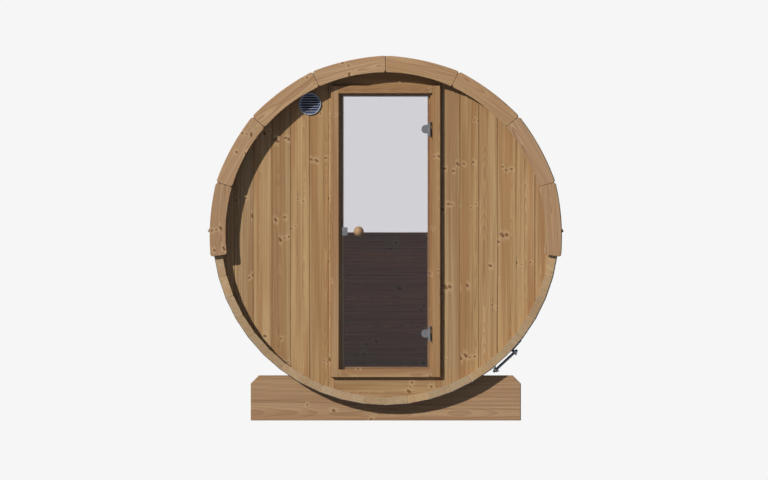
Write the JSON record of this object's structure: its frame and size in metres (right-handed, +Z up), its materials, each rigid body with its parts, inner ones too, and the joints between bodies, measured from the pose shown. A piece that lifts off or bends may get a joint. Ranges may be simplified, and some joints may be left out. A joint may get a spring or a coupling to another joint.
{
  "type": "barrel sauna",
  "caption": "Free-standing wooden barrel sauna on two cradles, with a hinged glass door in the front wall, a half-moon rear window and a shingled roof between arched fascia boards.",
  "frame": {"origin": "centre of the footprint, on the ground under the cradles", "axes": "+Z up, -Y towards the door end, +X to the right when facing the door; the barrel's axis runs along Y"},
  "size_m": [2.07, 1.864, 2.123],
  "materials": {
    "stave_wood": "thermally treated pine, planed",
    "fascia_wood": "thermally treated pine, planed",
    "wall_wood": "thermally treated pine boards, planed",
    "frame_wood": "thermally treated pine, planed",
    "cradle_wood": "thermally treated pine, planed",
    "floor_wood": "thermally treated pine, planed",
    "knob_wood": "turned wood, oiled",
    "drip_wood": "dark stained lath",
    "shingles": "mineral-faced bitumen shingles",
    "strap_steel": "stainless, dull",
    "hinge_metal": "satin",
    "vent_metal": "satin blue-grey",
    "glass": "clear tempered glass"
  },
  "bodies": {
    "building": {"staves_1": "stave_wood", "staves_2": "stave_wood", "staves_3": "stave_wood", "staves_4": "stave_wood", "staves_5": "stave_wood", "staves_6": "stave_wood", "staves_7": "stave_wood", "staves_8": "stave_wood", "front_fascia_1": "fascia_wood", "front_fascia_2": "fascia_wood", "front_fascia_3": "fascia_wood", "front_fascia_4": "fascia_wood", "front_fascia_5": "fascia_wood", "front_fascia_6": "fascia_wood", "front_fascia_7": "fascia_wood", "front_fascia_8": "fascia_wood", "rear_fascia_left": "fascia_wood", "rear_fascia_right": "fascia_wood", "roof_left": "shingles", "roof_right": "shingles", "eave_drip_left": "drip_wood", "eave_drip_right": "drip_wood", "front_strap": "strap_steel", "rear_strap": "strap_steel", "front_turnbuckle": "strap_steel", "rear_turnbuckle": "strap_steel", "front_cradle": "cradle_wood", "rear_cradle": "cradle_wood", "front_wall_left": "wall_wood", "front_wall_right": "wall_wood", "front_wall_over_door": "wall_wood", "front_wall_under_door": "wall_wood", "rear_wall": "wall_wood", "frame_jamb_left": "frame_wood", "frame_jamb_right": "frame_wood", "frame_head": "frame_wood", "frame_sill": "frame_wood", "wall_vent": "vent_metal", "hinge_leaf_upper": "hinge_metal", "hinge_leaf_lower": "hinge_metal", "rear_window": "glass", "floor_deck": "floor_wood", "floor_bearers": "floor_wood"},
    "door": {"door_glass": "glass", "door_clip_upper": "hinge_metal", "door_clip_lower": "hinge_metal", "door_knob_outer": "knob_wood", "door_knob_inner": "knob_wood", "door_latch": "hinge_metal"}
  },
  "joints": [
    {"name": "door_hinge", "type": "hinge", "parent": "building", "child": "door", "pos_m": [0.2544, -0.875, 1.1], "axis": [0, 0, 1], "range_deg": [0, 100]}
  ]
}
